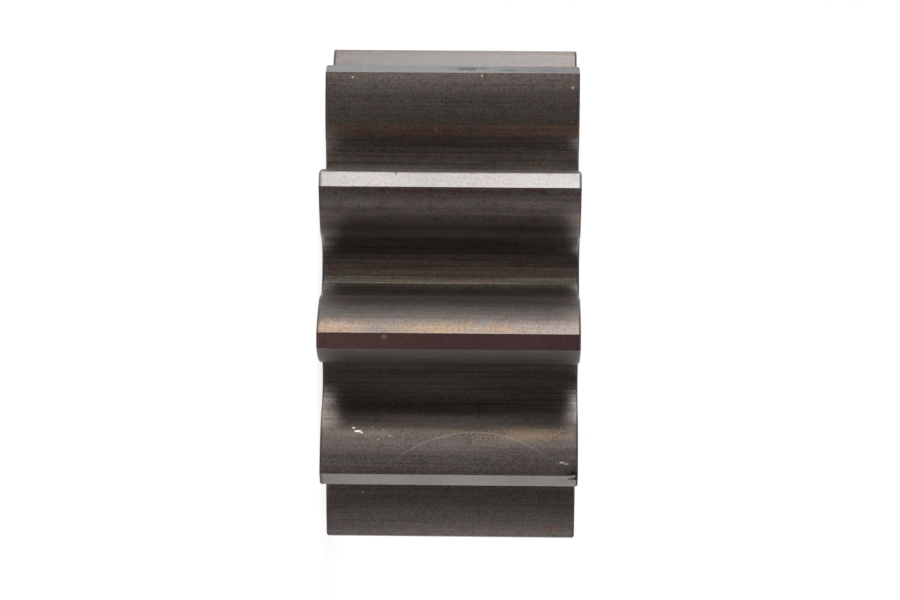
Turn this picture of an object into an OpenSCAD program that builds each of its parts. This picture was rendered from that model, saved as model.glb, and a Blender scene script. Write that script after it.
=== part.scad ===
// Idler gear of a gear-type oil pump: a straight-cut spur gear made from one piece of steel.
// It turns on a fixed shaft, so it has a plain bore and two flat end faces that run
// against the pump body and its cover. The frame's origin is on the bore's axis, in the
// lower end face, with +Z along the axis and the middle of one tooth on +X.

/* [Blank] */
// Diameter over the tips of the teeth
tip_d = 50.8; // [44:0.1:60]
// Length of the teeth along the axis, from end face to end face
face_w = 25.4; // [12:0.1:50]

/* [Bore] */
// Diameter of the bore that runs on the shaft
bore_d = 15.93; // [10:0.01:20]
// Chamfer at each mouth of the bore
bore_chamfer = 0.8; // [0.2:0.1:1.5]

/* [Teeth] */
// Number of teeth
teeth = 10; // [9:1:14]
// Pressure angle in degrees
pressure_angle = 22.5; // [20:0.5:25]
// Depth of the tooth space below the pitch circle, as a share of the module
dedendum_ratio = 1.25; // [1.15:0.01:1.3]
// Radius of the cutter's tip corners, as a share of the module
cutter_round_ratio = 0.3; // [0.15:0.01:0.3]
// Metal taken off each tooth's thickness at the pitch circle, for running clearance
tooth_thinning = 0.45; // [0:0.01:0.6]

/* [Edges] */
// Bevel round the teeth's outline where they meet the end faces
edge_break = 0.3; // [0.1:0.05:0.4]
// Bevel turned on the blank, which breaks the ends of the tip lands
tip_bevel = 0.2; // [0.1:0.05:0.4]

/* [Hidden] */

$fn = 96;

// Points on one side of a tooth space: its rounded foot, and its flank
foot_steps = 8;
flank_steps = 8;
// Halvings that find where the foot undercuts the flank
search_steps = 24;
// How far the cuts run past the blank, and past the teeth's tips
overrun = 1;
tip_overrun = 0.3;
bevel_overrun = 0.1;

tip_r = tip_d / 2;
bore_r = bore_d / 2;
gear_module = tip_d / (teeth + 2);
pitch_r = gear_module * teeth / 2;
base_r = pitch_r * cos(pressure_angle);
pitch_angle = 360 / teeth;

// The rack-shaped cutter, seen from the pitch line: half its thickness there,
// the depth of its tip, and the middle of its rounded tip corner
cutter_half_w = gear_module * PI / 4 + tooth_thinning / 2;
cutter_depth = dedendum_ratio * gear_module;
cutter_round = cutter_round_ratio * gear_module;
corner_depth = cutter_depth - cutter_round;
corner_x = cutter_half_w - corner_depth * tan(pressure_angle) - cutter_round / cos(pressure_angle);
root_r = pitch_r - cutter_depth;

// The cutter's flank ends where its rounded corner starts. If that lies deeper than
// the involute reaches, the corner undercuts the tooth.
flank_reach = (corner_depth + cutter_round * sin(pressure_angle)) / sin(pressure_angle);
involute_reach = pitch_r * sin(pressure_angle);
undercut = flank_reach > involute_reach;
corner_sweep = 90 - pressure_angle;

function involute(angle) = tan(angle) * 180 / PI - angle;

// Half angle of the tooth space at a radius on the involute flank
function space_angle(r) =
    cutter_half_w / pitch_r * 180 / PI - involute(pressure_angle) + involute(acos(base_r / r));

// Point of the tooth space's foot that the cutter's corner leaves, as [radius, angle
// from the middle of the space], where the corner is touched at this angle
function foot_polar(angle) =
    let (
        roll = corner_x - corner_depth * tan(angle),
        x = cutter_round * sin(angle) + corner_depth * tan(angle),
        y = pitch_r - corner_depth - cutter_round * cos(angle)
    )
    [norm([x, y]), atan2(x, y) + roll / pitch_r * 180 / PI];

// True while the foot is cut wider than the flank, or lies below the involute
function foot_cuts(point) = point[0] <= base_r || point[1] > space_angle(point[0]);

// Angle on the cutter's corner at which the foot meets the flank
function foot_end(low, high, steps) =
    let (middle = (low + high) / 2)
    steps == 0 ? middle
    : foot_cuts(foot_polar(middle)) ? foot_end(middle, high, steps - 1)
    : foot_end(low, middle, steps - 1);

sweep_end = undercut ? foot_end(0, corner_sweep, search_steps) : corner_sweep;
foot = [for (i = [0 : foot_steps]) foot_polar(sweep_end * i / foot_steps)];
flank_start_r = foot[foot_steps][0];
flank_end_r = tip_r + tip_overrun;
flank = [
    for (i = [1 : flank_steps])
        let (r = flank_start_r + (flank_end_r - flank_start_r) * i / flank_steps)
        [r, space_angle(r)]
];

// Past the tips the cut goes straight out, to a corner that is clear of the blank
flank_end_angle = space_angle(flank_end_r);
corner = [(tip_r + overrun) / cos(flank_end_angle), flank_end_angle];
half_space = concat(foot, flank, [corner]);

// Outline of one tooth space, from one outer corner round its foot to the other, with
// the middle of the space on +X
function xy(point, side) = point[0] * [cos(side * point[1]), sin(side * point[1])];
last = len(half_space) - 1;
space_outline = concat(
    [for (i = [last : -1 : 0]) xy(half_space[i], -1)],
    [for (point = half_space) xy(point, 1)]
);

// The outline moved into the metal by a distance, each stretch parallel to itself
function unit(v) = v / norm(v);
function normal(points, i) =
    let (step = unit(points[i + 1] - points[i]))
    [-step[1], step[0]];
function widened(points, by) = [
    for (i = [0 : len(points) - 1])
        let (
            before = normal(points, max(i - 1, 0)),
            after = normal(points, min(i, len(points) - 2))
        )
        points[i] + by * (before + after) / (1 + before * after)
];

// Blank as it is turned: a disc with its tips' ends bevelled
module turned_blank() {
    rotate_extrude()
        polygon([
            [0, 0],
            [tip_r - tip_bevel, 0],
            [tip_r, tip_bevel],
            [tip_r, face_w - tip_bevel],
            [tip_r - tip_bevel, face_w],
            [0, face_w]
        ]);
}

// What the cutter leaves standing, a little larger round than the blank
module cut_teeth() {
    linear_extrude(face_w)
        difference() {
            circle(tip_r + overrun / 2);
            for (i = [0 : teeth - 1])
                rotate(pitch_angle * (i + 0.5))
                    polygon(space_outline);
        }
}

// Hole for the shaft, with a bevel at each mouth
module shaft_hole() {
    rotate_extrude()
        polygon([
            [0, -overrun],
            [bore_r + bore_chamfer + overrun, -overrun],
            [bore_r, bore_chamfer],
            [bore_r, face_w - bore_chamfer],
            [bore_r + bore_chamfer + overrun, face_w + overrun],
            [0, face_w + overrun]
        ]);
}

// Bevel where a tooth space runs out through the lower end face. It starts inside the
// space, crosses its wall a bevel's width above the face, and opens at 45 degrees
// until it is below the face.
module space_bevel() {
    start = bevel_overrun;
    end = edge_break + bevel_overrun;
    inner = widened(space_outline, -start);
    outer = widened(space_outline, end);
    count = len(space_outline);
    polyhedron(
        points = concat(
            [for (p = inner) [p[0], p[1], edge_break + start]],
            [for (p = outer) [p[0], p[1], edge_break - end]]
        ),
        faces = concat(
            [[for (i = [0 : count - 1]) i]],
            [[for (i = [count - 1 : -1 : 0]) count + i]],
            [for (i = [0 : count - 1])
                let (j = (i + 1) % count)
                [i, count + i, count + j, j]]
        )
    );
}

module both_ends() {
    children();
    translate([0, 0, face_w])
        mirror([0, 0, 1])
            children();
}

module idler_gear() {
    color("dimgray")
        difference() {
            intersection() {
                cut_teeth();
                turned_blank();
            }
            shaft_hole();
            for (i = [0 : teeth - 1])
                rotate(pitch_angle * (i + 0.5))
                    both_ends()
                        space_bevel();
        }
}

idler_gear();
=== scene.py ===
# %% [markdown]
# The oil pump idler gear, dressed for its portrait
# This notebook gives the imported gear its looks. The frame holds the solid gear as it was
# built: its size, its place and its one body. Everything here is in metres, in the same
# frame: the gear stands on one end face, and its axis is Z.

import math

import bpy
from mathutils import Matrix, Vector


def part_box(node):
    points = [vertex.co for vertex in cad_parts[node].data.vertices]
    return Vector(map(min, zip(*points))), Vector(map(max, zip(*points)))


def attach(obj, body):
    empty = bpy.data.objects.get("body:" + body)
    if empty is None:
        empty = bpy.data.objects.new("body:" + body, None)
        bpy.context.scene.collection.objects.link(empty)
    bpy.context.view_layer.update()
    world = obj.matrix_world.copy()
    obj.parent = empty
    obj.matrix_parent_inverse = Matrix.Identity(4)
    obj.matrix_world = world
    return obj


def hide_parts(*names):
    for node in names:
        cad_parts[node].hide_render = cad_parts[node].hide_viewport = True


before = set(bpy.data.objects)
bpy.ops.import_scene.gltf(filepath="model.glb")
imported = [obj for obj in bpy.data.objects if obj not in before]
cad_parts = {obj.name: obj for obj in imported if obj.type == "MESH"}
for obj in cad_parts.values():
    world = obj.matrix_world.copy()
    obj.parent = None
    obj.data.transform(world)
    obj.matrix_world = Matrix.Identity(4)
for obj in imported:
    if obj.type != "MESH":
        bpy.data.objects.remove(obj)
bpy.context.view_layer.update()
low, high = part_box("idler_gear")
print("gear box in mm:", [round(v * 1000, 2) for v in low], [round(v * 1000, 2) for v in high])

# %% [markdown]
# The real gear's sizes come first, because the camera and the patterns need them as well.
# A gear is cut by a rack-shaped tool that rolls past the blank, so a tooth's form follows
# from a few numbers: how many teeth, how big they are, how steep the tool's sides are, how
# deep it cuts, and how round its corners are. A tooth could be traced from the solid gear's
# mesh, but these numbers say more, and draw it as smooth as a portrait needs.

# %% Sizes of the gear
MM = 0.001
TEETH = 10
TIP_R = 25.4 * MM
FACE_W = 25.4 * MM
BORE_R = 7.965 * MM
BORE_CHAMFER = 0.8 * MM
EDGE_BREAK = 0.2 * MM
PRESSURE = math.radians(22.5)
THINNING = 0.45 * MM
MODULE = 2 * TIP_R / (TEETH + 2)
PITCH_R = MODULE * TEETH / 2
BASE_R = PITCH_R * math.cos(PRESSURE)
HALF_CUTTER = MODULE * math.pi / 4 + THINNING / 2
CUT_DEPTH = 1.25 * MODULE
CORNER = 0.3 * MODULE
ROOT_R = PITCH_R - CUT_DEPTH
print("module in mm:", round(MODULE / MM, 4), "root radius:", round(ROOT_R / MM, 3))

# %% [markdown]
# The photograph was taken square to the gear's axis from about 31 cm away. The gear's axis
# lies level in it, so here, where the gear stands up, the camera is turned by a quarter.
# It could be aimed with a Track To constraint, but that can't roll it or look a little past
# the gear. So it is set up from three directions: to the right in the picture, up in the
# picture, and back from the gear to the camera. Its lens and film are in mm, as in Blender.

# %% Camera
LENS, FILM_WIDTH = 121.76, 36
NEAREST_SEEN = 10 * MM
towards = math.radians(277.053)
picture_right = Vector((0, 0, 1))
picture_back = Vector((math.cos(towards), math.sin(towards), 0))
picture_up = picture_back.cross(picture_right)
yaw, roll = math.radians(-0.940), math.radians(-0.492)
aside, above, away = -0.0118, -0.0333, 12.4618


def in_picture(right, up, back):
    return picture_right * right + picture_up * up + picture_back * back


def placed(at, right, up, back):
    return Matrix.Translation(at) @ Matrix((right, up, back)).transposed().to_4x4()


cam_right = in_picture(math.cos(roll) * math.cos(yaw), -math.sin(roll),
                       math.cos(roll) * math.sin(yaw))
cam_up = in_picture(math.sin(roll) * math.cos(yaw), math.cos(roll),
                    math.sin(roll) * math.sin(yaw))
cam_back = in_picture(-math.sin(yaw), 0, math.cos(yaw))
middle = Vector((0, 0, FACE_W / 2))
camera_at = middle + TIP_R * (aside * cam_right + above * cam_up + away * cam_back)

bpy.ops.object.camera_add()
camera = bpy.context.object
camera.name = "portrait_camera"
camera.data.sensor_width = FILM_WIDTH
camera.data.lens = LENS
camera.data.clip_start = NEAREST_SEEN
camera.matrix_world = placed(camera_at, cam_right, cam_up, cam_back)
bpy.context.scene.camera = camera
print("camera in mm:", [round(v / MM, 1) for v in camera_at])

# %% [markdown]
# One tooth's outline is worked out as the cutter leaves it. The cutter's round corner
# sweeps the foot of the tooth space, and because this gear has few teeth it digs in a
# little under the flank. From there on the cutter's straight side leaves the involute,
# and the blank's own round edge is what is left of the tip. A few arcs drawn by eye would
# come close, but the light on a flank shows every error in its curve. All of it is drawn
# 0.004 mm small, so that it stays inside the solid gear's box.


# %% Outline of one tooth
def involute(angle):
    return math.tan(angle) - angle


def space_angle(radius):
    """Half the width of a tooth space, as an angle, at a radius on the flanks."""
    return HALF_CUTTER / PITCH_R - involute(PRESSURE) + involute(math.acos(BASE_R / radius))


def foot_point(angle):
    """Radius and angle of the point that the cutter's corner leaves at this angle."""
    deep = CUT_DEPTH - CORNER
    corner_x = HALF_CUTTER - deep * math.tan(PRESSURE) - CORNER / math.cos(PRESSURE)
    across = CORNER * math.sin(angle) + deep * math.tan(angle)
    up = PITCH_R - deep - CORNER * math.cos(angle)
    turn = (corner_x - deep * math.tan(angle)) / PITCH_R
    return math.hypot(across, up), math.atan2(across, up) + turn


HALVINGS = 40
low_angle, high_angle = 0.0, math.pi / 2 - PRESSURE
for _ in range(HALVINGS):
    last_angle = (low_angle + high_angle) / 2
    radius, angle = foot_point(last_angle)
    if radius <= BASE_R or angle > space_angle(radius):
        low_angle = last_angle
    else:
        high_angle = last_angle
undercut_r = foot_point(last_angle)[0]

ROOT_STEPS, FOOT_STEPS, FLANK_STEPS, LAND_STEPS = 3, 16, 22, 8
INSET = 0.004 * MM
flank_radii = [undercut_r + (TIP_R - undercut_r) * i / FLANK_STEPS
               for i in range(1, FLANK_STEPS + 1)]
half_space = [(ROOT_R, foot_point(0)[1] * i / ROOT_STEPS) for i in range(ROOT_STEPS)]
half_space += [foot_point(last_angle * i / FOOT_STEPS) for i in range(FOOT_STEPS + 1)]
half_space += [(r, space_angle(r)) for r in flank_radii]
half_pitch = math.pi / TEETH
half_land = half_pitch - space_angle(TIP_R)
lower_side = [(r, a - half_pitch) for r, a in half_space]
land = [(TIP_R, half_land * (2 * i / LAND_STEPS - 1)) for i in range(1, LAND_STEPS)]
upper_side = [(r, -a) for r, a in reversed(lower_side)]
tooth_outline = [Vector(((r - INSET) * math.cos(a), (r - INSET) * math.sin(a), 0))
                 for r, a in lower_side + land + upper_side]
print("points round one tooth:", len(tooth_outline))
print("undercut radius in mm:", round(undercut_r / MM, 2))

# %% [markdown]
# The detailed gear is modelled the way a shaper cuts it: a profile, drawn straight along
# the axis. A curve with an extrusion depth would do it too, but its lengths can't be set
# one by one. So a single vertex is the start. It is extruded from point to point into one
# tooth's outline, and the outline is extruded along the axis in short lengths. The first
# and the last are very short, so that the edges' rounding stays out of the flanks.


# %% Draw one tooth's flanks
def nothing_selected():
    for thing in bpy.context.selected_objects:
        thing.select_set(False)


def edit_all(action):
    bpy.ops.object.mode_set(mode="EDIT")
    bpy.ops.mesh.select_all(action=action)


def extrude(step):
    bpy.ops.mesh.extrude_region_move(TRANSFORM_OT_translate={"value": step})


seed_size = 2 * MM
nothing_selected()
bpy.ops.mesh.primitive_plane_add(size=seed_size)
gear = bpy.context.object
gear.name = "gear_body"
edit_all("SELECT")
bpy.ops.mesh.merge(type="CENTER")
bpy.ops.transform.translate(value=tooth_outline[0] + Vector((0, 0, EDGE_BREAK)))
for here, there in zip(tooth_outline, tooth_outline[1:]):
    extrude(there - here)

LENGTHS = 36
end_strip = 0.1 * MM
middle_step = (FACE_W - 2 * EDGE_BREAK - 2 * end_strip) / LENGTHS
bpy.ops.mesh.select_all(action="SELECT")
for step in [end_strip] + [middle_step] * LENGTHS + [end_strip]:
    extrude(Vector((0, 0, step)))
bpy.ops.mesh.select_all(action="SELECT")
print("lengths along the tooth:", LENGTHS, "of", round(middle_step / MM, 3), "mm")

# %% [markdown]
# The other nine teeth are copies of the first, turned about the axis. An Array modifier
# could turn them about an empty. Spin makes them in one step with nothing left over, and
# merging by distance joins each to its neighbours.

# %% Turn nine copies
weld = 0.004 * MM
bpy.ops.mesh.spin(steps=TEETH - 1, dupli=True, angle=2 * math.pi * (TEETH - 1) / TEETH,
                  center=(0, 0, 0), axis=(0, 0, 1))
bpy.ops.mesh.select_all(action="SELECT")
bpy.ops.mesh.remove_doubles(threshold=weld)
bpy.ops.mesh.normals_make_consistent(inside=False)
bpy.ops.object.mode_set(mode="OBJECT")
print("faces round the teeth:", len(gear.data.polygons))

# %% [markdown]
# Where the flanks meet the end faces, the real gear's edges are broken with a file or a
# wheel: a narrow, slightly rounded bevel that follows every tooth. The Bevel operator would
# need the end faces first, and pinches in the narrow feet. So the open rim is drawn towards
# the end face in four short steps, and shrunk a little more at each, and the bevel runs
# round tips and feet alike.


# %% Break the edges at both ends
def select_rim(z):
    slack = 0.002 * MM
    bpy.ops.mesh.select_all(action="DESELECT")
    bpy.ops.object.mode_set(mode="OBJECT")
    for vertex in gear.data.vertices:
        vertex.select = abs(vertex.co.z - z) < slack
    bpy.ops.object.mode_set(mode="EDIT")
    bpy.ops.mesh.select_mode(type="VERT")


STEPS = 4
FIRST_TURN, TURN_RANGE = 14, 62
BULGE = 1.3
bpy.ops.object.mode_set(mode="EDIT")
for end, sign in ((EDGE_BREAK, -1), (FACE_W - EDGE_BREAK, 1)):
    select_rim(end)
    gone_in, gone_out = 0.0, 0.0
    for i in range(1, STEPS + 1):
        turn = math.radians(FIRST_TURN + TURN_RANGE * i / STEPS) if i < STEPS else math.pi / 2
        out = EDGE_BREAK * math.sin(turn) ** BULGE
        inn = EDGE_BREAK * (1 - math.cos(turn) ** BULGE)
        extrude(Vector((0, 0, sign * (out - gone_out))))
        bpy.ops.transform.shrink_fatten(value=-(inn - gone_in), use_even_offset=False)
        gone_in, gone_out = inn, out
bpy.ops.object.mode_set(mode="OBJECT")
print("height in mm:", round(max(v.co.z for v in gear.data.vertices) / MM, 3))

# %% [markdown]
# The end faces are flat rings between the toothed rim and the bore. A Boolean could drill
# the bore, but it leaves long thin faces. So a circle at the bore's mouth is the inner
# edge, and it is extruded down the bore: a chamfer, the wall that runs on the shaft, and a
# chamfer again. Then Fill closes the ring between bore and teeth at either end.

# %% End faces and bore
BORE_POINTS, BORE_LENGTHS = 120, 12
mouth_r, wall_top = BORE_R + BORE_CHAMFER, FACE_W - BORE_CHAMFER
edit_all("DESELECT")
bpy.ops.mesh.primitive_circle_add(vertices=BORE_POINTS, radius=mouth_r,
                                  location=(0, 0, FACE_W))
bore_path = [(wall_top, BORE_R)]
bore_path += [(wall_top - (FACE_W - 2 * BORE_CHAMFER) * i / BORE_LENGTHS, BORE_R)
              for i in range(1, BORE_LENGTHS + 1)]
bore_path += [(0.0, mouth_r)]
at_z, at_r = FACE_W, mouth_r
for z, r in bore_path:
    extrude(Vector((0, 0, z - at_z)))
    bpy.ops.transform.resize(value=(r / at_r, r / at_r, 1), center_override=(0, 0, 0))
    at_z, at_r = z, r
for z in (0.0, FACE_W):
    select_rim(z)
    bpy.ops.mesh.fill(use_beauty=True)
bpy.ops.mesh.select_all(action="SELECT")
bpy.ops.mesh.normals_make_consistent(inside=False)
bpy.ops.object.mode_set(mode="OBJECT")
print("triangles:", sum(len(p.vertices) - 2 for p in gear.data.polygons))

# %% [markdown]
# One tooth has lost a crumb of its corner. It could be sculpted, or cut out with a Boolean.
# For something half a millimetre wide it is enough to push in the points near the corner,
# and the nearest ones a second time.

# %% Chip one corner
CHIPPED_TOOTH = 324
DOWN_SHARE = 0.7
corner_turn = math.radians(CHIPPED_TOOTH) - half_land
corner_at = Vector((TIP_R * math.cos(corner_turn), TIP_R * math.sin(corner_turn), FACE_W))
for reach, push in ((0.5 * MM, 0.12 * MM), (0.3 * MM, 0.1 * MM)):
    edit_all("DESELECT")
    bpy.ops.object.mode_set(mode="OBJECT")
    for vertex in gear.data.vertices:
        vertex.select = (vertex.co - corner_at).length < reach
    print("points pushed in:", sum(vertex.select for vertex in gear.data.vertices))
    bpy.ops.object.mode_set(mode="EDIT")
    bpy.ops.transform.translate(value=(-push * math.cos(corner_turn),
                                       -push * math.sin(corner_turn), -DOWN_SHARE * push))
    bpy.ops.object.mode_set(mode="OBJECT")

# %% [markdown]
# Colours are written as they look on a screen, in hex, and one function turns them into
# the linear values that Blender mixes with. Another adds a node to a material and joins
# it up, which is all that the finishes need. Sockets go by name, or by number where names
# repeat: a Math node takes its values at 0, 1 and 2, and a Mix node for colours takes its
# share at 0 and its two colours at 6 and 7, and gives the result at output 2.


# %% Helpers for the finishes
def linear(code, alpha=1.0):
    parts = [int(code[i:i + 2], 16) / 255 for i in (0, 2, 4)]
    return [c / 12.92 if c <= 0.04045 else ((c + 0.055) / 1.055) ** 2.4 for c in parts] + [alpha]


def node(tree, kind, links=None, **settings):
    made = tree.nodes.new(kind)
    for name, value in settings.items():
        if name == "values":
            for key, number in value.items():
                made.inputs[key].default_value = number
        elif name == "ramp":
            stops = made.color_ramp.elements
            while len(stops) > 1:
                stops.remove(stops[-1])
            stops[0].position, stops[0].color = value[0]
            for position, color in value[1:]:
                stops.new(position).color = color
        elif name == "steps":
            made.color_ramp.interpolation = value
        else:
            setattr(made, name, value)
    for key, source in (links or {}).items():
        tree.links.new(source, made.inputs[key])
    return made


def new_finish(name):
    finish = bpy.data.materials.new(name)
    finish.use_nodes = True
    finish.node_tree.nodes.clear()
    return finish, finish.node_tree


print("the screen's middle grey in linear light:", round(linear("808080")[0], 3))

# %% [markdown]
# The flanks are carburised steel as it came from the shaper and the furnace, stained by oil. To
# the eye that is brown-black and dull, and darkest in the middle of each flank. It could be
# painted by hand on an unwrapped mesh. Here the tone goes by depth, from the foot of the space
# (0) to the tip (1), so the distance to the axis gives it to all ten teeth at once. Low on the
# flanks, from 0.12 to 0.4 of the depth, the tone is lighter than the steel: painted fill light
# for the shade that the next tooth casts there. Two noises serve the cells that follow: blotches
# of 1.6 mm, the size of the patches that drying oil leaves, and a grain of 0.17 mm. Real furnace
# scale is finer, about 0.05 mm, but the grain has to be nearly two pixels wide to show.

# %% Flanks: tone by depth
flank_finish, tree = new_finish("oil_stained_shaped_steel_and_fill_light")
place_in_gear = node(tree, "ShaderNodeTexCoord").outputs["Object"]
flat_place = node(tree, "ShaderNodeMapping", {"Vector": place_in_gear},
                  values={"Scale": (1, 1, 0)})
from_axis = node(tree, "ShaderNodeVectorMath", {0: flat_place.outputs["Vector"]},
                 operation="LENGTH")
depth = node(tree, "ShaderNodeMapRange", {"Value": from_axis.outputs["Value"]},
             values={"From Min": ROOT_R, "From Max": TIP_R})
# painted fill light: the tone is lighter from 0.12 to 0.4 of the depth, where the next tooth
# shades the flank
depth_tone_and_fill_light = node(tree, "ShaderNodeValToRGB", {"Fac": depth.outputs["Result"]}, ramp=[
    (0.0, linear("4b4843")), (0.12, linear("6a6561")), (0.3, linear("736f6e")),
    (0.4, linear("6f6a67")), (0.55, linear("595350")), (0.8, linear("514c4b")),
    (0.92, linear("575250")), (1.0, linear("554d4b"))])
blotches = node(tree, "ShaderNodeTexNoise", {"Vector": place_in_gear},
                values={"Scale": 1 / (1.6 * MM), "Detail": 4, "Roughness": 0.65})
grain = node(tree, "ShaderNodeTexNoise", {"Vector": place_in_gear},
             values={"Scale": 1 / (0.17 * MM), "Detail": 2, "Roughness": 0.7})
print("tones by depth:", len(depth_tone_and_fill_light.color_ramp.elements))

# %% [markdown]
# Each flank has aged in its own way: rust-brown patches where the oil dried, grey rubbed places,
# a line where the shaper stopped, and small bright nicks. Two light patches low on the flanks,
# at 261 and 315 degrees, are not wear but painted fill light: they lighten the shade that the
# next tooth casts there. All of these could be painted on too. A list of soft spots needs no
# picture, and any of them is easy to move. Each has a centre (radius in mm, angle in degrees,
# height in mm), a size across and along the axis in mm, a colour, a strength, and how ragged its
# edge is. A spot is full up to half its size and gone at 1.3 times. The two noises, which are
# 0.5 on average, are added to the distance from its centre, and so they move its edge in and
# out.


# %% Marks on a finish
FINE_SHARE, COARSE_SHARE = 2.5, 3
FULL_UP_TO, GONE_AT = 0.5, 1.3


def add_marks(tree, place, under, fine, coarse, marks):
    for radius, angle, height, across, along, tone, strength, ragged in marks:
        turn = math.radians(angle)
        size = Vector((across, across, along)) * MM
        at = Vector((radius * math.cos(turn), radius * math.sin(turn), height)) * MM
        average = (FINE_SHARE + COARSE_SHARE) / 2 * ragged
        inside = node(tree, "ShaderNodeMapping", {"Vector": place}, values={
            "Scale": [1 / s for s in size], "Location": [-a / s for a, s in zip(at, size)]})
        far = node(tree, "ShaderNodeVectorMath", {0: inside.outputs["Vector"]},
                   operation="LENGTH")
        rough = node(tree, "ShaderNodeMath", {0: fine, 2: far.outputs["Value"]},
                     operation="MULTIPLY_ADD", values={1: FINE_SHARE * ragged})
        rough = node(tree, "ShaderNodeMath", {0: coarse, 2: rough.outputs[0]},
                     operation="MULTIPLY_ADD", values={1: COARSE_SHARE * ragged})
        share = node(tree, "ShaderNodeMapRange", {"Value": rough.outputs[0]},
                     interpolation_type="SMOOTHSTEP",
                     values={"From Min": average + FULL_UP_TO, "From Max": average + GONE_AT,
                             "To Min": strength, "To Max": 0.0})
        under = node(tree, "ShaderNodeMix", {0: share.outputs["Result"], 6: under},
                     data_type="RGBA", values={7: linear(tone)}).outputs[2]
    return under


flank_marks_and_fill_light = [
    # the tooth at 216 degrees: a light edge, and brown oil stains at its foot
    (24.9, 216.5, 13.0, 0.5, 13.0, "625e5b", 0.4, 0.8),
    (20.45, 224.9, 21.0, 0.9, 7.0, "7b6858", 0.7, 0.35),
    (20.45, 224.9, 8.0, 0.8, 10.0, "735f53", 0.7, 0.35),
    # broad tones: three flanks, painted fill light low on two flanks where the next tooth shades
    # them, and a foot
    (22.4, 258.0, 12.7, 1.2, 20.0, "7d7571", 0.75, 0.4),
    (23.0, 318.2, 12.7, 0.9, 18.0, "605a58", 0.6, 0.4),
    (22.6, 282.2, 12.7, 1.2, 18.0, "605e5b", 0.7, 0.4),
    # the two light patches at 18.7 mm are painted fill light in the shade of the next tooth
    (18.7, 261.0, 11.5, 2.6, 18.0, "9a938d", 0.85, 0.2),
    (15.9, 305.5, 12.7, 1.2, 20.0, "605853", 0.7, 0.3),
    (18.7, 315.0, 12.0, 2.4, 13.5, "a39c98", 0.85, 0.2),
    # the tooth at 252 degrees: three rubbed patches, and brown under the land's edge
    (23.8, 256.4, 4.5, 0.7, 5.5, "6c6663", 0.8, 1.1),
    (23.75, 256.6, 12.5, 0.65, 4.5, "69635f", 0.85, 1.1),
    (23.8, 256.4, 20.5, 0.7, 5.0, "6b6562", 0.8, 1.1),
    (24.9, 254.2, 12.7, 0.4, 15.0, "483831", 0.7, 0.5),
    # the space at 270 degrees: dried oil, and lines where the shaper stopped
    (16.4, 265.5, 12.7, 1.6, 18.0, "695d58", 0.5, 0.4),
    (15.97, 269.5, 12.7, 0.9, 15.0, "514037", 0.65, 0.4),
    (16.06, 274.1, 12.7, 0.075, 15.0, "8a7d6d", 0.8, 0.3),
    (16.0, 273.0, 12.7, 0.06, 14.0, "7d6b5a", 0.4, 0.5),
    (16.0, 271.0, 20.0, 0.05, 5.0, "8a7663", 0.5, 0.4),
    # the tooth at 288 degrees: dark and rusty places along its tip
    (24.6, 290.4, 12.7, 0.9, 18.0, "484341", 0.5, 0.3),
    (24.7, 285.8, 12.7, 1.4, 16.0, "625c57", 0.7, 0.7),
    (24.9, 285.2, 11.5, 0.7, 4.4, "6c5e4d", 0.8, 0.8),
    (24.9, 285.2, 17.6, 0.6, 1.6, "645644", 0.7, 0.8),
    (24.7, 285.8, 1.6, 1.2, 3.2, "77695d", 0.8, 0.7),
    # the tooth at 324 degrees: a rusty band, a nick, and a dark corner beside the chip
    (21.9, 316.6, 12.7, 0.8, 14.0, "4c4440", 0.6, 0.7),
    (21.9, 316.6, 20.6, 0.8, 2.4, "7c6a58", 0.4, 0.8),
    (21.6, 316.2, 11.6, 0.6, 3.0, "6c5c4f", 0.6, 0.8),
    (21.8, 316.4, 4.4, 0.8, 3.2, "7a6f66", 0.4, 0.8),
    (20.6, 315.0, 0.7, 1.3, 1.6, "8d867f", 0.8, 0.4),
    (24.47, 320.55, 24.2, 0.07, 0.22, "c9c6c2", 0.9, 0.15),
    (25.2, 322.7, 24.9, 0.5, 0.6, "2c2019", 0.9, 0.4),
    # the tooth at 0 degrees: two broad tones, a fleck and a stain
    (23.6, 355.3, 12.7, 1.5, 18.0, "625d5a", 0.7, 0.4),
    (25.1, 357.3, 12.7, 0.9, 18.0, "66615f", 0.6, 0.3),
    (21.3, 351.8, 3.78, 0.16, 0.24, "8a7650", 0.9, 0.4),
    (24.6, 356.8, 23.14, 0.4, 0.6, "6c5850", 0.8, 0.6),
    # bright nicks on the tooth at 216 degrees
    (24.99, 218.53, 2.75, 0.09, 0.12, "b4a985", 1.0, 0.2),
    (24.25, 219.85, 24.69, 0.18, 0.2, "a89c7e", 0.9, 0.4),
    (25.15, 218.25, 15.62, 0.1, 0.1, "b0a278", 1.0, 0.2),
    (20.46, 225.1, 11.07, 0.07, 0.08, "b8ab94", 1.0, 0.15),
    (18.96, 225.4, 10.26, 0.07, 0.08, "b0a490", 1.0, 0.15)]
stained = add_marks(tree, place_in_gear, depth_tone_and_fill_light.outputs["Color"],
                    grain.outputs["Fac"], blotches.outputs["Fac"], flank_marks_and_fill_light)
print("marks on the flanks:", len(flank_marks_and_fill_light))

# %% [markdown]
# Something hard, most likely the driving gear's tooth, also rubbed a faint arc into one
# flank. A row of spots would show as beads, so it is drawn as a curve: how far out a point
# of it lies depends on the square of its height above or below the crest. The line is
# 0.17 mm wide, and fades between 4 and 9 mm from the crest.

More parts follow.
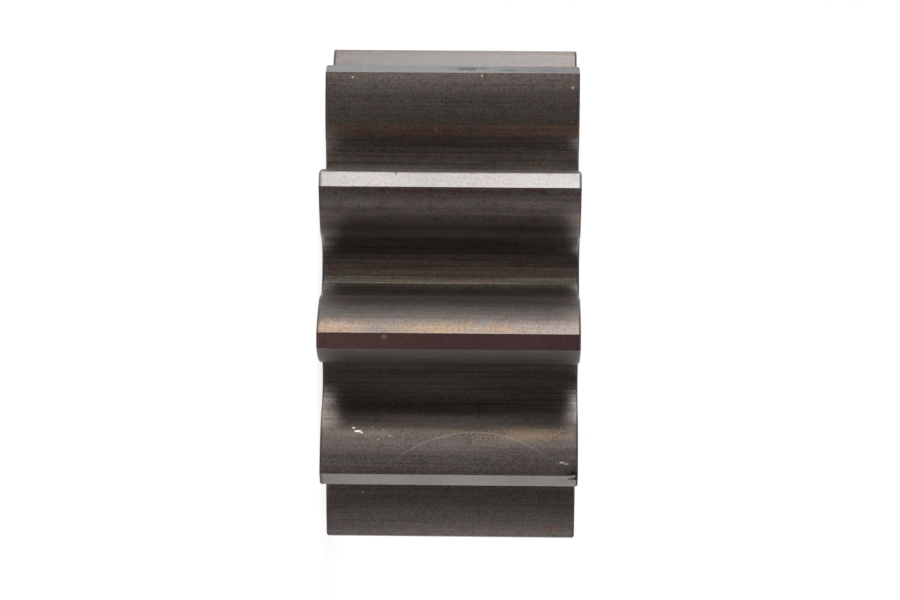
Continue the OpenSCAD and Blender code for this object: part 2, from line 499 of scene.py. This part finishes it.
# %% The rubbed arc
CREST_Z, CREST_X, BEND = 15.2 * MM, 15.82 * MM, 0.0455 / MM
ARC_HALF_WIDTH = 0.085 * MM
FLANK_SIDE = -14.5 * MM
fade_from, fade_to = 4 * MM, 9 * MM
parts = node(tree, "ShaderNodeSeparateXYZ", {"Vector": place_in_gear})
from_crest = node(tree, "ShaderNodeMath", {0: parts.outputs["Z"]}, operation="SUBTRACT",
                  values={1: CREST_Z})
squared = node(tree, "ShaderNodeMath", {0: from_crest.outputs[0], 1: from_crest.outputs[0]},
               operation="MULTIPLY")
off_curve = node(tree, "ShaderNodeMath", {0: squared.outputs[0], 2: parts.outputs["X"]},
                 operation="MULTIPLY_ADD", values={1: -BEND})
curve = node(tree, "ShaderNodeMath", {0: off_curve.outputs[0]}, operation="COMPARE",
             values={1: CREST_X, 2: ARC_HALF_WIDTH})
on_flank = node(tree, "ShaderNodeMath", {0: parts.outputs["Y"]}, operation="LESS_THAN",
                values={1: FLANK_SIDE})
arc_share = node(tree, "ShaderNodeMath", {0: curve.outputs[0], 1: on_flank.outputs[0]},
                 operation="MULTIPLY")
arc_end = node(tree, "ShaderNodeMapRange", {"Value": squared.outputs[0]},
               values={"From Min": fade_from ** 2, "From Max": fade_to ** 2,
                       "To Min": 0.8, "To Max": 0.0})
arc_soft = node(tree, "ShaderNodeMath", {0: arc_share.outputs[0], 1: arc_end.outputs["Result"]},
                operation="MULTIPLY")
arced = node(tree, "ShaderNodeMix", {0: arc_soft.outputs[0], 6: stained}, data_type="RGBA",
             values={7: linear("6f6d72")})
print("width of the arc's line in mm:", round(2 * ARC_HALF_WIDTH / MM, 2))

# %% [markdown]
# The shaper's tool left straight lines along the axis, clear in the feet and nearly worn
# away on the flanks. A Wave texture would lay them too evenly. A noise that is drawn out
# gives lines of uneven depth: they are about a quarter of a millimetre wide, as in the
# photograph, and 20 mm long.

# %% Flanks: tool lines
line_width, line_length = 0.24 * MM, 20 * MM
drawn_out = node(tree, "ShaderNodeMapping", {"Vector": place_in_gear},
                 values={"Scale": (1, 1, line_width / line_length)})
lines = node(tree, "ShaderNodeTexNoise", {"Vector": drawn_out.outputs["Vector"]},
             values={"Scale": 1 / line_width, "Detail": 2, "Roughness": 0.6})
line_share = node(tree, "ShaderNodeMapRange", {"Value": depth.outputs["Result"]},
                  values={"From Min": 0.35, "From Max": 0.5, "To Min": 0.75, "To Max": 0.4})
line_tone = node(tree, "ShaderNodeValToRGB", {"Fac": lines.outputs["Fac"]}, ramp=[
    (0.4, linear("bdbab8")), (0.5, linear("f0efee")), (0.6, linear("ffffff"))])
with_lines = node(tree, "ShaderNodeMix", {0: line_share.outputs["Result"],
                                          6: arced.outputs[2], 7: line_tone.outputs["Color"]},
                  data_type="RGBA", blend_type="MULTIPLY")
print("tool lines are longer than wide by:", round(line_length / line_width))

# %% [markdown]
# Over the lines lie the blotches of oil, the colours of the heat, which go from warm to
# cool in spots of 0.4 mm, and the grain of the scale. They could be mixed in as new
# colours. Multiplied, each one only tints and darkens what is under it, as a film does.

# %% Flanks: blotches, heat tint and grain
blotch_tone = node(tree, "ShaderNodeValToRGB", {"Fac": blotches.outputs["Fac"]}, ramp=[
    (0.36, linear("eeeae8")), (0.5, linear("ffffff")), (0.64, linear("fffaf6"))])
blotched = node(tree, "ShaderNodeMix", {6: with_lines.outputs[2],
                                        7: blotch_tone.outputs["Color"]},
                data_type="RGBA", blend_type="MULTIPLY", values={0: 1.0})
heat_spots = node(tree, "ShaderNodeTexNoise", {"Vector": place_in_gear},
                  values={"Scale": 1 / (0.4 * MM), "Detail": 2, "Roughness": 0.7})
heat_tone = node(tree, "ShaderNodeValToRGB", {"Fac": heat_spots.outputs["Fac"]}, ramp=[
    (0.36, linear("fff1ea")), (0.5, linear("fcfbfb")), (0.62, linear("eaf5fa"))])
tinted = node(tree, "ShaderNodeMix", {6: blotched.outputs[2], 7: heat_tone.outputs["Color"]},
              data_type="RGBA", blend_type="MULTIPLY", values={0: 1.0})
grain_tone = node(tree, "ShaderNodeValToRGB", {"Fac": grain.outputs["Fac"]}, ramp=[
    (0.32, linear("a89a92")), (0.5, linear("e8e2de")), (0.66, linear("ffffff"))])
grained = node(tree, "ShaderNodeMix", {6: tinted.outputs[2], 7: grain_tone.outputs["Color"]},
               data_type="RGBA", blend_type="MULTIPLY", values={0: 0.9})
print("nodes in the flanks' finish so far:", len(tree.nodes))

# %% [markdown]
# A few marks lie over the grain and not under it: a flank that was rubbed smooth, the
# speckles of rust along the band on the tooth at 324 degrees, and nicks and flecks, where
# bare metal shines through. They come from the same helper. For speckles, the grain is
# both of its noises, and the edge is so ragged that only scattered grains are left.

# %% Flanks: marks over the grain
rubbed_smooth = [
    (24.9, 185.0, 12.7, 1.8, 16.0, "444342", 0.75, 0.2),
    (25.0, 186.0, 14.0, 0.5, 1.6, "6b5444", 0.5, 0.6),
    (25.1, 185.6, 4.7, 0.4, 2.4, "67503f", 0.45, 0.6)]
toned = add_marks(tree, place_in_gear, grained.outputs[2],
                  grain.outputs["Fac"], blotches.outputs["Fac"], rubbed_smooth)
bright_marks = [
    # speckles
    (21.8, 316.5, 6.0, 0.6, 5.5, "8a8073", 0.25, 1.6),
    (21.9, 316.6, 20.0, 0.6, 3.5, "8f7a60", 0.3, 1.6),
    (21.7, 316.3, 12.7, 0.5, 14.0, "80776d", 0.1, 1.6),
    # nicks and flecks
    (21.82, 316.42, 3.73, 0.11, 0.36, "e4e1dc", 1.0, 0.35),
    (21.5, 316.0, 3.3, 0.08, 0.17, "e4e1dc", 1.0, 0.35),
    (21.95, 316.6, 4.1, 0.07, 0.13, "dcd8d2", 1.0, 0.3),
    (21.7, 316.3, 6.2, 0.06, 0.1, "96908a", 0.8, 0.1),
    (22.2, 316.9, 6.9, 0.06, 0.12, "96908a", 0.8, 0.1),
    (22.6, 317.4, 5.7, 0.06, 0.1, "8b867d", 0.8, 0.1),
    (21.4, 315.9, 5.2, 0.05, 0.1, "96908a", 0.8, 0.1),
    (24.36, 320.34, 23.8, 0.07, 0.26, "b4b1ad", 0.9, 0.15)]
toned = add_marks(tree, place_in_gear, toned,
                  grain.outputs["Fac"], grain.outputs["Fac"], bright_marks)
print("marks over the grain:", len(rubbed_smooth) + len(bright_marks))

# %% [markdown]
# Tool lines and grain also catch the light. They could be cut into the mesh, but at a
# hundredth of a millimetre deep that takes millions of faces. Bump tilts the light instead.
# The film of scale and oil makes this steel less metallic and duller than bare metal.

# %% Flanks: relief and shader
RELIEF = 0.012 * MM
groove = node(tree, "ShaderNodeBump", {"Height": lines.outputs["Fac"]},
              values={"Strength": 0.35, "Distance": RELIEF})
grit = node(tree, "ShaderNodeBump", {"Height": grain.outputs["Fac"],
                                     "Normal": groove.outputs["Normal"]},
            values={"Strength": 0.35, "Distance": RELIEF})
shader = node(tree, "ShaderNodeBsdfPrincipled", {"Base Color": toned,
                                                 "Normal": grit.outputs["Normal"]},
              values={"Metallic": 0.67, "Roughness": 0.4, "Specular IOR Level": 0.2})
node(tree, "ShaderNodeOutputMaterial", {"Surface": shader.outputs["BSDF"]})
print("nodes in the flanks' finish:", len(tree.nodes))

# %% [markdown]
# The tip lands were ground with the blank's outside, so to the eye they are bare, bright and a
# little scratched along their length. Most are clean, and one is pitted. Each land also gets a
# tone of its own, which is partly stain and partly painted reflection: the dark red-brown land
# at 288 degrees and the dark grey one at 324 are painted darker, as a reflection of dark
# surroundings over some real stain. Ten materials could tell them apart. A ramp that goes round
# the axis in ten steps does it in one: its first and its last tone are the two halves of the
# tooth at 180 degrees. Oil leaves stains of 1.2 mm on them, and the noise for the speckle is 0.2
# mm, two pixels wide.

# %% Lands: a tone for each tooth, partly painted reflection
land_finish, tree = new_finish("ground_steel_tip_lands_and_reflections")
place_in_gear = node(tree, "ShaderNodeTexCoord").outputs["Object"]
round_about = node(tree, "ShaderNodeTexGradient", {"Vector": place_in_gear},
                   gradient_type="RADIAL")
# painted reflection as well as stain: the darker tones stand for dark surroundings mirrored in
# those lands
land_tones_and_reflections = ["72706e", "787879", "6f6d6c", "594342", "494644", "6a6866", "797674", "767472",
              "787674", "72706f", "72706e"]
tone_and_reflection_by_tooth = node(tree, "ShaderNodeValToRGB", {"Fac": round_about.outputs["Fac"]},
                steps="CONSTANT", ramp=[(max(0, i / TEETH - 0.5 / TEETH), linear(tone))
                                        for i, tone in enumerate(land_tones_and_reflections)])
blotches = node(tree, "ShaderNodeTexNoise", {"Vector": place_in_gear},
                values={"Scale": 1 / (1.2 * MM), "Detail": 4, "Roughness": 0.65})
grain = node(tree, "ShaderNodeTexNoise", {"Vector": place_in_gear},
             values={"Scale": 1 / (0.2 * MM), "Detail": 3, "Roughness": 0.65})
print("tones round the gear:", len(tone_and_reflection_by_tooth.color_ramp.elements))

# %% [markdown]
# The lands have marks of their own, from the same helper, where painting them would take a
# picture again: lines along an edge, pits, stains, and ends darker or lighter than the rest. The
# ends' tones are painted light and shade, which even out how the lamps light each land along its
# length.

# %% Lands: marks
edge = math.degrees(half_land)
land_marks_and_end_light = [
    # lines along an edge
    (25.4, 252 - edge, 12.7, 0.13, 15.0, "4c413b", 0.7, 0.5),
    (25.4, 216 + edge, 12.7, 0.1, 15.0, "8a8a8c", 0.5, 0.5),
    # stains and pits
    (25.4, 215.7, 14.0, 0.4, 1.6, "45433f", 0.8, 1.1),
    (25.4, 216.4, 18.6, 0.3, 1.0, "4a4844", 0.8, 0.8),
    (25.4, 216.3, 22.8, 0.3, 1.2, "55534f", 0.7, 0.7),
    (25.4, 250.4, 7.46, 0.3, 0.14, "2a211b", 1.0, 0.2),
    (25.4, 252.0, 0.15, 1.0, 0.3, "6b5546", 0.7, 0.4),
    (25.4, 287.1, 6.52, 0.2, 0.26, "8a6f68", 0.8, 0.6),
    (25.4, 324 - edge, 25.0, 0.4, 0.7, "2b211b", 0.95, 0.4),
    (25.4, 324.0, 24.5, 0.5, 0.8, "35291f", 0.5, 0.7),
    # ends, painted lighter or darker as light and shade along each land, and a worn place
    (25.4, 252.0, 0.5, 1.6, 8.0, "84817f", 0.5, 0.2),
    (25.4, 288.0, 24.0, 1.4, 9.0, "654c4b", 0.7, 0.2),
    (25.4, 252.0, 5.0, 0.6, 2.0, "7c7675", 0.4, 0.7),
    (25.4, 324.0, 0.5, 1.6, 8.0, "57534f", 0.8, 0.2),
    (25.4, 324.0, 25.0, 1.6, 9.0, "3e3b39", 0.8, 0.2),
    (25.4, 216.0, 25.0, 1.6, 8.0, "6c6c6d", 0.8, 0.2),
    # two faint stains
    (25.4, 252.6, 17.0, 0.5, 3.0, "726a68", 0.5, 0.7),
    (25.4, 180.0, 9.0, 1.0, 5.0, "86695a", 0.4, 0.7)]
toned = add_marks(tree, place_in_gear, tone_and_reflection_by_tooth.outputs["Color"],
                  grain.outputs["Fac"], blotches.outputs["Fac"], land_marks_and_end_light)
print("marks on the lands:", len(land_marks_and_end_light))

# %% [markdown]
# The grinding marks run round the blank, so on a land they cross it, but they are about
# 0.02 mm apart, far finer than a pixel. What the eye gets is a faint speckle, and a few
# scratches along the tooth. The scratches are a noise again, 0.19 mm wide so that they
# show, and drawn out to 3 mm, where a Wave texture would be too regular.

# %% Lands: speckle, scratches and shader
scratch_width, scratch_share = 0.19 * MM, 0.06
grain_tone = node(tree, "ShaderNodeValToRGB", {"Fac": grain.outputs["Fac"]}, ramp=[
    (0.32, linear("c4c0be")), (0.5, linear("f2f1f0")), (0.64, linear("ffffff"))])
toned = node(tree, "ShaderNodeMix", {6: toned, 7: grain_tone.outputs["Color"]},
             data_type="RGBA", blend_type="MULTIPLY", values={0: 0.65})
drawn_out = node(tree, "ShaderNodeMapping", {"Vector": place_in_gear},
                 values={"Scale": (1, 1, scratch_share)})
scratches = node(tree, "ShaderNodeTexNoise", {"Vector": drawn_out.outputs["Vector"]},
                 values={"Scale": 1 / scratch_width, "Detail": 3, "Roughness": 0.6})
groove = node(tree, "ShaderNodeBump", {"Height": scratches.outputs["Fac"]},
              values={"Strength": 0.2, "Distance": 0.01 * MM})
shader = node(tree, "ShaderNodeBsdfPrincipled", {"Base Color": toned.outputs[2],
                                                 "Normal": groove.outputs["Normal"]},
              values={"Metallic": 1.0, "Roughness": 0.32})
node(tree, "ShaderNodeOutputMaterial", {"Surface": shader.outputs["BSDF"]})
print("scratch length in mm:", round(scratch_width / scratch_share / MM, 1))

# %% [markdown]
# The end faces were ground flat on a turning table, which leaves fine rings about the axis,
# and they run against the pump's body, so they are cleaner than the flanks. Rings could
# come from a Wave texture. A noise of the distance to the axis is less even. The real rings
# are about 0.05 mm apart, and 0.3 mm here, so that they show. Thin oil leaves faint stains
# of 5 mm.

# %% Finish of the end faces
face_finish, tree = new_finish("ground_steel_end_faces")
place_in_gear = node(tree, "ShaderNodeTexCoord").outputs["Object"]
flat_place = node(tree, "ShaderNodeMapping", {"Vector": place_in_gear},
                  values={"Scale": (1, 1, 0)})
from_axis = node(tree, "ShaderNodeVectorMath", {0: flat_place.outputs["Vector"]},
                 operation="LENGTH")
rings_at = node(tree, "ShaderNodeCombineXYZ", {"X": from_axis.outputs["Value"]})
rings = node(tree, "ShaderNodeTexNoise", {"Vector": rings_at.outputs["Vector"]},
             values={"Scale": 1 / (0.3 * MM), "Detail": 2, "Roughness": 0.6})
stain = node(tree, "ShaderNodeTexNoise", {"Vector": place_in_gear},
             values={"Scale": 1 / (5 * MM), "Detail": 5, "Roughness": 0.65})
face_tone = node(tree, "ShaderNodeValToRGB", {"Fac": stain.outputs["Fac"]}, ramp=[
    (0.36, linear("66605b")), (0.5, linear("716c67")), (0.64, linear("787370"))])
ring_tone = node(tree, "ShaderNodeValToRGB", {"Fac": rings.outputs["Fac"]}, ramp=[
    (0.35, linear("dcdad8")), (0.6, linear("ffffff"))])
toned = node(tree, "ShaderNodeMix", {6: face_tone.outputs["Color"],
                                     7: ring_tone.outputs["Color"]},
             data_type="RGBA", blend_type="MULTIPLY", values={0: 0.8})
groove = node(tree, "ShaderNodeBump", {"Height": rings.outputs["Fac"]},
              values={"Strength": 0.4, "Distance": 0.012 * MM})
shader = node(tree, "ShaderNodeBsdfPrincipled", {"Base Color": toned.outputs[2],
                                                 "Normal": groove.outputs["Normal"]},
              values={"Metallic": 1.0, "Roughness": 0.4})
node(tree, "ShaderNodeOutputMaterial", {"Surface": shader.outputs["BSDF"]})
print("nodes in the end faces' finish:", len(tree.nodes))

# %% [markdown]
# The bore is honed: stones go round and up and down at once, and leave two sets of fine
# scratches that cross. On Object coordinates they would smear where the wall turns away.
# So the wall is unrolled for them: the way round it is one direction, the height is the
# other. Real honing lines are 0.02 mm apart, these are 0.25 mm, so that they show.

# %% Finish of the bore
HATCH_ANGLE, HATCH_SHARE = 60, 0.04
bore_finish, tree = new_finish("honed_steel_bore")
place_in_gear = node(tree, "ShaderNodeTexCoord").outputs["Object"]
round_about = node(tree, "ShaderNodeTexGradient", {"Vector": place_in_gear},
                   gradient_type="RADIAL")
way_round = node(tree, "ShaderNodeMath", {0: round_about.outputs["Fac"]}, operation="MULTIPLY",
                 values={1: 2 * math.pi * BORE_R})
parts = node(tree, "ShaderNodeSeparateXYZ", {"Vector": place_in_gear})
unrolled = node(tree, "ShaderNodeCombineXYZ", {"X": way_round.outputs[0],
                                               "Y": parts.outputs["Z"]})
hatch = []
for slant in (-HATCH_ANGLE, HATCH_ANGLE):
    turned = node(tree, "ShaderNodeMapping", {"Vector": unrolled.outputs["Vector"]},
                  values={"Rotation": (0, 0, math.radians(slant))})
    drawn_out = node(tree, "ShaderNodeMapping", {"Vector": turned.outputs["Vector"]},
                     values={"Scale": (1, HATCH_SHARE, 1)})
    hatch.append(node(tree, "ShaderNodeTexNoise", {"Vector": drawn_out.outputs["Vector"]},
                      values={"Scale": 1 / (0.25 * MM), "Detail": 2}).outputs["Fac"])
crossed = node(tree, "ShaderNodeMath", {0: hatch[0], 1: hatch[1]}, operation="MINIMUM")
hatch_tone = node(tree, "ShaderNodeValToRGB", {"Fac": crossed.outputs[0]}, ramp=[
    (0.3, linear("625d59")), (0.5, linear("77726e"))])
groove = node(tree, "ShaderNodeBump", {"Height": crossed.outputs[0]},
              values={"Strength": 0.3, "Distance": 0.01 * MM})
shader = node(tree, "ShaderNodeBsdfPrincipled", {"Base Color": hatch_tone.outputs["Color"],
                                                 "Normal": groove.outputs["Normal"]},
              values={"Metallic": 1.0, "Roughness": 0.3})
node(tree, "ShaderNodeOutputMaterial", {"Surface": shader.outputs["BSDF"]})
print("sets of honing lines:", len(hatch))

# %% [markdown]
# Each face gets its finish by its place: the lands lie at the tip radius and look straight
# out, the end faces look along the axis, the bore lies well inside the feet, and all the
# rest was cut by the shaper. By hand this is a Select and an Assign for each. The chamfers
# at the bore's mouths go with the end faces. Smoothing stops at angles over 24 degrees, so
# that the lands and the end faces keep their edges.

# %% Give each face its finish
SMOOTH_UP_TO = 24
inside_feet = ROOT_R - 1 * MM
finishes = [flank_finish, land_finish, face_finish, bore_finish]
for finish in finishes:
    gear.data.materials.append(finish)
for face in gear.data.polygons:
    x, y, z = face.center
    r = math.hypot(x, y)
    sideways = math.hypot(face.normal.x, face.normal.y)
    outwards = (face.normal.x * x + face.normal.y * y) / r
    if abs(face.normal.z) < 0.1 and r < inside_feet:
        face.material_index = finishes.index(bore_finish)
    elif abs(face.normal.z) > 0.95 or r < inside_feet:
        face.material_index = finishes.index(face_finish)
    elif r > TIP_R - EDGE_BREAK and outwards > 0.98 * sideways:
        face.material_index = finishes.index(land_finish)
nothing_selected()
gear.select_set(True)
bpy.context.view_layer.objects.active = gear
bpy.ops.object.shade_smooth_by_angle(angle=math.radians(SMOOTH_UP_TO))
bpy.ops.object.transform_apply(location=True, rotation=True, scale=True)
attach(gear, "root")
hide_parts("idler_gear")
for number, finish in enumerate(finishes):
    print(finish.name, sum(face.material_index == number for face in gear.data.polygons))

# %% [markdown]
# The gear stands on a plain pale floor. A white surface that is only lit never comes out
# evenly white, so the floor glows a little to the camera and to shiny metal, and keeps
# enough of its own reflection for the gear's soft shadow. It casts no shadow itself: the
# lamps reach below it, and their lower halves have to shine up through it on the gear.


# %% Floor
def seen_directly(tree):
    """1 where the camera, or shiny or clear material, looks, and 0 for soft light."""
    paths = node(tree, "ShaderNodeLightPath")
    seen = node(tree, "ShaderNodeMath", {0: paths.outputs["Is Camera Ray"],
                                         1: paths.outputs["Is Glossy Ray"]},
                operation="MAXIMUM")
    return node(tree, "ShaderNodeMath", {0: seen.outputs[0],
                                         1: paths.outputs["Is Transmission Ray"]},
                operation="MAXIMUM").outputs[0]


FLOOR_SIZE = 6
FLOOR_GLOW, FLOOR_PAINT = 0.83, 0.35
nothing_selected()
bpy.ops.mesh.primitive_plane_add(size=FLOOR_SIZE)
floor = bpy.context.object
floor.name = "floor"
floor_finish, tree = new_finish("pale_floor")
glow = node(tree, "ShaderNodeEmission", {"Strength": seen_directly(tree)},
            values={"Color": (FLOOR_GLOW, FLOOR_GLOW, FLOOR_GLOW, 1)})
paint = node(tree, "ShaderNodeBsdfDiffuse",
             values={"Color": (FLOOR_PAINT, FLOOR_PAINT, FLOOR_PAINT, 1)})
both = node(tree, "ShaderNodeAddShader", {0: glow.outputs[0], 1: paint.outputs[0]})
node(tree, "ShaderNodeOutputMaterial", {"Surface": both.outputs[0]})
floor.data.materials.append(floor_finish)
floor.visible_shadow = False
print("floor in m:", [round(v, 1) for v in floor.dimensions])

# %% [markdown]
# The room is white to the camera and to shiny metal, and gives a plain even light. A
# panorama of a real room could light the gear too, but that is a picture, and its lamps
# can't be moved one by one.

# %% Room
EVEN_LIGHT = 0.5
room = bpy.data.worlds.new("white_room")
bpy.context.scene.world = room
room.use_nodes = True
tree = room.node_tree
tree.nodes.clear()
seen = seen_directly(tree)
even = node(tree, "ShaderNodeBackground", values={"Color": (1, 1, 1, 1), "Strength": EVEN_LIGHT})
white = node(tree, "ShaderNodeBackground", values={"Color": (1, 1, 1, 1), "Strength": 1.0})
mixed = node(tree, "ShaderNodeMixShader", {0: seen, 1: even.outputs[0], 2: white.outputs[0]})
node(tree, "ShaderNodeOutputWorld", {"Surface": mixed.outputs[0]})
print("nodes of the room:", len(tree.nodes))

# %% [markdown]
# Three soft lamps are long in the direction of the gear's axis: one on the side that is up
# in the picture, one halfway to the camera, one below. Small lamps would leave hard spots
# on the steel, where the photograph has broad soft bands. They reach past both ends of the
# gear, as the light in the photograph did. Each is given by how far its way rises in the
# picture in degrees, its width in metres, and how bright its surface is, so that a wider
# lamp isn't a dimmer one.

# %% Lamps
LAMP_AWAY, LAMP_LENGTH = 0.4, 0.29
NEARER_FLOOR = 0.02


def way_to(rise):
    return in_picture(0, math.sin(math.radians(rise)), math.cos(math.radians(rise)))


def soft_lamp(name, rise, across, glow):
    back = way_to(rise).normalized()
    lamp_at = middle - picture_right * NEARER_FLOOR + back * LAMP_AWAY
    bpy.ops.object.light_add(type="AREA", location=lamp_at)
    lamp = bpy.context.object
    lamp.name = name
    lamp.data.shape = "RECTANGLE"
    lamp.data.size, lamp.data.size_y = LAMP_LENGTH, across
    lamp.data.energy = glow * math.pi * LAMP_LENGTH * across
    lamp.matrix_world = placed(lamp.location, picture_right, back.cross(picture_right), back)
    print(name, "power in W:", round(lamp.data.energy, 2))


for name, rise, across, glow in (("top_lamp", 79, 0.26, 13.4), ("front_lamp", 41, 0.14, 7.4),
                                 ("low_lamp", -90, 0.3, 4.95)):
    soft_lamp(name, rise, across, glow)

# %% [markdown]
# A dark card behind the camera keeps the room's white out of the steel that faces the
# camera, as a photographer does with polished parts. A darker room would do that too, but
# it would make the background grey. The camera doesn't see the card, and it casts no shadow.

# %% Dark card
CARD_R, CARD_AWAY, CARD_RISE = 0.33, 0.42, -20
CARD_POINTS = 64
nothing_selected()
card_way = way_to(CARD_RISE)
bpy.ops.mesh.primitive_circle_add(vertices=CARD_POINTS, radius=CARD_R, fill_type="NGON",
                                  location=middle + card_way * CARD_AWAY)
card = bpy.context.object
card.name = "dark_card"
card.rotation_euler = card_way.to_track_quat("Z", "Y").to_euler()
card_finish, tree = new_finish("dark_card_felt")
shader = node(tree, "ShaderNodeEmission",
              values={"Color": (0.15, 0.14, 0.14, 1), "Strength": 1.0})
node(tree, "ShaderNodeOutputMaterial", {"Surface": shader.outputs[0]})
card.data.materials.append(card_finish)
card.visible_camera = False
card.visible_shadow = False
bpy.context.scene.view_settings.view_transform = "Standard"
print("card centre in mm:", [round(v / MM) for v in card.location])
